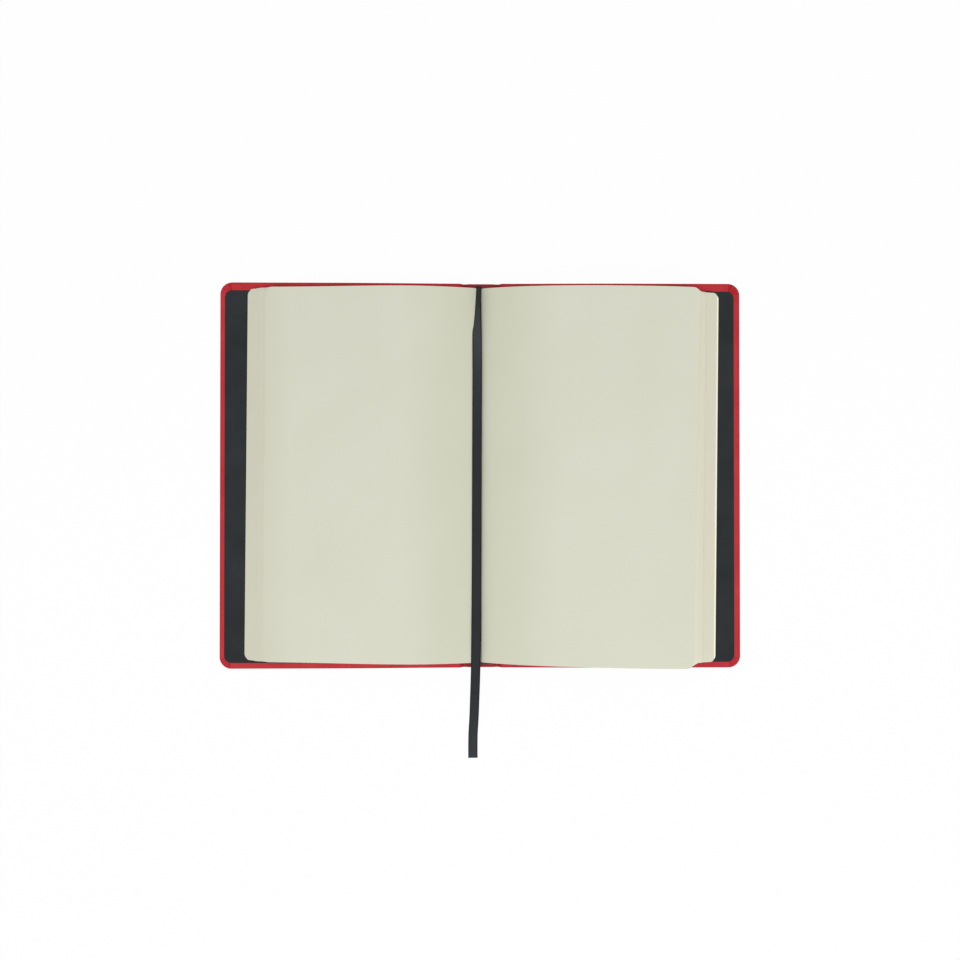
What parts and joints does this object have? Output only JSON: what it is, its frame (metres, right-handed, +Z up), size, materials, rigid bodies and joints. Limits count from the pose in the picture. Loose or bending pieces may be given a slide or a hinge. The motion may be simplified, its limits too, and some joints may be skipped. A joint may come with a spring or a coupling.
{
  "type": "pocket notebook",
  "caption": "Hardcover pocket notebook lying open at the middle, with sewn plain pages, black endpapers and a ribbon bookmark; both covers swing up to shut it.",
  "frame": {"origin": "centre of the open notebook's underside, below the middle of the spine", "axes": "+X across the spread towards the back cover, +Y along the spine towards the head, +Z up off the open pages"},
  "size_m": [0.189, 0.1729, 0.013],
  "materials": {
    "covering": "red imitation leather on paper, fine grain, low sheen",
    "greyboard": "raw greyboard",
    "kraft_lining": "brown kraft paper",
    "mull_cloth": "open-weave cotton mull, glued",
    "linen_thread": "waxed thread",
    "band_cloth": "black woven band",
    "ribbon_satin": "black satin ribbon with close selvedges",
    "endpaper": "black uncoated paper",
    "page_paper": "plain cream uncoated paper"
  },
  "bodies": {
    "spine": {"spine_covering": "covering", "spine_card": "greyboard", "spine_lining": "kraft_lining", "mull": "mull_cloth", "sewing_thread": "linen_thread", "head_band": "band_cloth", "tail_band": "band_cloth", "ribbon_end": "ribbon_satin"},
    "front_cover": {"front_covering": "covering", "front_board": "greyboard", "front_pastedown": "endpaper"},
    "back_cover": {"back_covering": "covering", "back_board": "greyboard", "back_pastedown": "endpaper"},
    "section_01": {"section_01": "page_paper", "front_flyleaf": "endpaper"},
    "section_14": {"section_14": "page_paper", "back_flyleaf": "endpaper"},
    "section_02": {"section_02": "page_paper"},
    "section_13": {"section_13": "page_paper"},
    "section_03": {"section_03": "page_paper"},
    "section_12": {"section_12": "page_paper"},
    "section_04": {"section_04": "page_paper"},
    "section_11": {"section_11": "page_paper"},
    "section_05": {"section_05": "page_paper"},
    "section_10": {"section_10": "page_paper"},
    "section_06": {"section_06": "page_paper"},
    "section_09": {"section_09": "page_paper"},
    "section_07": {"section_07": "page_paper", "ribbon": "ribbon_satin"},
    "section_08": {"section_08": "page_paper"}
  },
  "joints": [
    {"name": "front_cover_swing", "type": "hinge", "parent": "spine", "child": "front_cover", "pos_m": [-0.00605, 0, 0], "axis": [0, 1, 0], "range_deg": [0, 90], "deforming": ["section_05", "section_06", "section_07"]},
    {"name": "back_cover_swing", "type": "hinge", "parent": "spine", "child": "back_cover", "pos_m": [0.00605, 0, 0], "axis": [0, -1, 0], "range_deg": [0, 90], "deforming": ["section_08", "section_09", "section_10"]},
    {"name": "section_01_swing", "type": "hinge", "parent": "spine", "child": "section_01", "pos_m": [-0.00487, 0, 0.00118], "axis": [0, 1, 0], "range_deg": [0, 90]},
    {"name": "section_14_swing", "type": "hinge", "parent": "spine", "child": "section_14", "pos_m": [0.00547, 0, 0.00057], "axis": [0, -1, 0], "range_deg": [0, 90]},
    {"name": "section_02_swing", "type": "hinge", "parent": "spine", "child": "section_02", "pos_m": [-0.00435, 0, 0.0017], "axis": [0, 1, 0], "range_deg": [0, 90]},
    {"name": "section_13_swing", "type": "hinge", "parent": "spine", "child": "section_13", "pos_m": [0.00483, 0, 0.00122], "axis": [0, -1, 0], "range_deg": [0, 90]},
    {"name": "section_03_swing", "type": "hinge", "parent": "spine", "child": "section_03", "pos_m": [-0.00382, 0, 0.00222], "axis": [0, 1, 0], "range_deg": [0, 90]},
    {"name": "section_12_swing", "type": "hinge", "parent": "spine", "child": "section_12", "pos_m": [0.00417, 0, 0.00187], "axis": [0, -1, 0], "range_deg": [0, 90]},
    {"name": "section_04_swing", "type": "hinge", "parent": "spine", "child": "section_04", "pos_m": [-0.0033, 0, 0.00275], "axis": [0, 1, 0], "range_deg": [0, 90]},
    {"name": "section_11_swing", "type": "hinge", "parent": "spine", "child": "section_11", "pos_m": [0.00352, 0, 0.00252], "axis": [0, -1, 0], "range_deg": [0, 90]},
    {"name": "section_05_swing", "type": "hinge", "parent": "spine", "child": "section_05", "pos_m": [-0.00265, 0, 0.0034], "axis": [0, 1, 0], "range_deg": [0, 90]},
    {"name": "section_10_swing", "type": "hinge", "parent": "spine", "child": "section_10", "pos_m": [0.00255, 0, 0.0035], "axis": [0, -1, 0], "range_deg": [0, 90]},
    {"name": "section_06_swing", "type": "hinge", "parent": "spine", "child": "section_06", "pos_m": [-0.002, 0, 0.00405], "axis": [0, 1, 0], "range_deg": [0, 90]},
    {"name": "section_09_swing", "type": "hinge", "parent": "spine", "child": "section_09", "pos_m": [0.00158, 0, 0.00447], "axis": [0, -1, 0], "range_deg": [0, 90]},
    {"name": "section_07_swing", "type": "hinge", "parent": "spine", "child": "section_07", "pos_m": [-0.00135, 0, 0.0047], "axis": [0, 1, 0], "range_deg": [0, 90]},
    {"name": "section_08_swing", "type": "hinge", "parent": "spine", "child": "section_08", "pos_m": [0.0006, 0, 0.00545], "axis": [0, -1, 0], "range_deg": [0, 90]}
  ],
  "couplings": [
    {"joint": "section_01_swing", "follows": "front_cover_swing", "ratio": 1},
    {"joint": "section_14_swing", "follows": "back_cover_swing", "ratio": 1},
    {"joint": "section_02_swing", "follows": "front_cover_swing", "ratio": 1},
    {"joint": "section_13_swing", "follows": "back_cover_swing", "ratio": 1},
    {"joint": "section_03_swing", "follows": "front_cover_swing", "ratio": 1},
    {"joint": "section_12_swing", "follows": "back_cover_swing", "ratio": 1},
    {"joint": "section_04_swing", "follows": "front_cover_swing", "ratio": 1},
    {"joint": "section_11_swing", "follows": "back_cover_swing", "ratio": 1},
    {"joint": "section_05_swing", "follows": "front_cover_swing", "ratio": 1},
    {"joint": "section_10_swing", "follows": "back_cover_swing", "ratio": 1},
    {"joint": "section_06_swing", "follows": "front_cover_swing", "ratio": 1},
    {"joint": "section_09_swing", "follows": "back_cover_swing", "ratio": 1},
    {"joint": "section_07_swing", "follows": "front_cover_swing", "ratio": 1},
    {"joint": "section_08_swing", "follows": "back_cover_swing", "ratio": 1}
  ]
}
